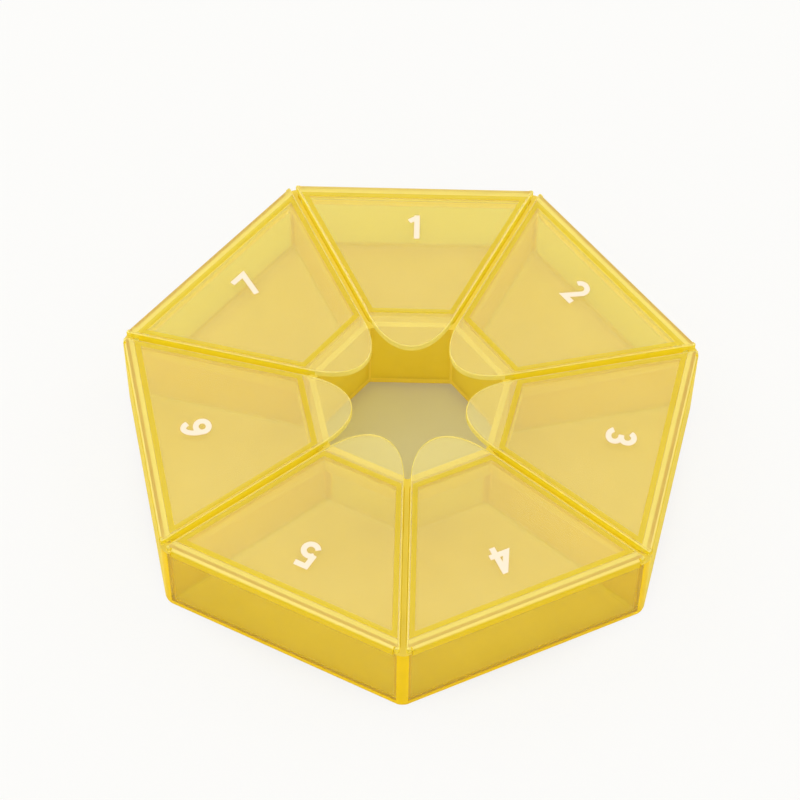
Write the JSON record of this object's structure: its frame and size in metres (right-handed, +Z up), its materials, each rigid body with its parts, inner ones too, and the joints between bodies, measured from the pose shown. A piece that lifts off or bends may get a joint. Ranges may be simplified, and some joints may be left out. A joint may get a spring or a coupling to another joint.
{
  "type": "weekly pill organizer",
  "caption": "Ring-shaped pill box in clear yellow plastic: wedge compartments round an open centre, each under a hinged lid with a round tab and a printed numeral.",
  "frame": {"origin": "middle of the bounding box's bottom, on the face that the tray rests on; the ring's own axis is 2.7 mm towards +Y, because a seven-sided ring is longer to its front corner than to its back side", "axes": "+Z up through the hole, +Y to the back, towards the side with place 1, +X to the right; the front corner points to -Y"},
  "size_m": [0.1124, 0.1098, 0.0202],
  "materials": {
    "tray_plastic": "clear golden yellow polypropylene, glossy, light passes",
    "lid_plastic": "thinner clear straw yellow polypropylene, glossy, light passes",
    "hinge_plastic": "the same plastic as a folded film, slightly wrinkled",
    "print_ink": "opaque white printed ink, satin"
  },
  "bodies": {
    "tray": {"tray": "tray_plastic", "hinge_web_1": "hinge_plastic", "hinge_web_2": "hinge_plastic", "hinge_web_3": "hinge_plastic", "hinge_web_4": "hinge_plastic", "hinge_web_5": "hinge_plastic", "hinge_web_6": "hinge_plastic", "hinge_web_7": "hinge_plastic"},
    "lid_1": {"lid_1": "lid_plastic", "numeral_1": "print_ink"},
    "lid_2": {"lid_2": "lid_plastic", "numeral_2": "print_ink"},
    "lid_3": {"lid_3": "lid_plastic", "numeral_3": "print_ink"},
    "lid_4": {"lid_4": "lid_plastic", "numeral_4": "print_ink"},
    "lid_5": {"lid_5": "lid_plastic", "numeral_5": "print_ink"},
    "lid_6": {"lid_6": "lid_plastic", "numeral_6": "print_ink"},
    "lid_7": {"lid_7": "lid_plastic", "numeral_7": "print_ink"}
  },
  "joints": [
    {"name": "lid_hinge_1", "type": "hinge", "parent": "tray", "child": "lid_1", "pos_m": [0, 0.05489, 0.01815], "axis": [-1, 0, 0], "range_deg": [0, 180]},
    {"name": "lid_hinge_2", "type": "hinge", "parent": "tray", "child": "lid_2", "pos_m": [0.04079, 0.03525, 0.01815], "axis": [-0.6235, 0.7818, 0], "range_deg": [0, 180]},
    {"name": "lid_hinge_3", "type": "hinge", "parent": "tray", "child": "lid_3", "pos_m": [0.05086, -0.00889, 0.01815], "axis": [0.2225, 0.9749, 0], "range_deg": [0, 180]},
    {"name": "lid_hinge_4", "type": "hinge", "parent": "tray", "child": "lid_4", "pos_m": [0.02264, -0.04428, 0.01815], "axis": [0.901, 0.4339, 0], "range_deg": [0, 180]},
    {"name": "lid_hinge_5", "type": "hinge", "parent": "tray", "child": "lid_5", "pos_m": [-0.02264, -0.04428, 0.01815], "axis": [0.901, -0.4339, 0], "range_deg": [0, 180]},
    {"name": "lid_hinge_6", "type": "hinge", "parent": "tray", "child": "lid_6", "pos_m": [-0.05086, -0.00889, 0.01815], "axis": [0.2225, -0.9749, 0], "range_deg": [0, 180]},
    {"name": "lid_hinge_7", "type": "hinge", "parent": "tray", "child": "lid_7", "pos_m": [-0.04079, 0.03525, 0.01815], "axis": [-0.6235, -0.7818, 0], "range_deg": [0, 180]}
  ]
}
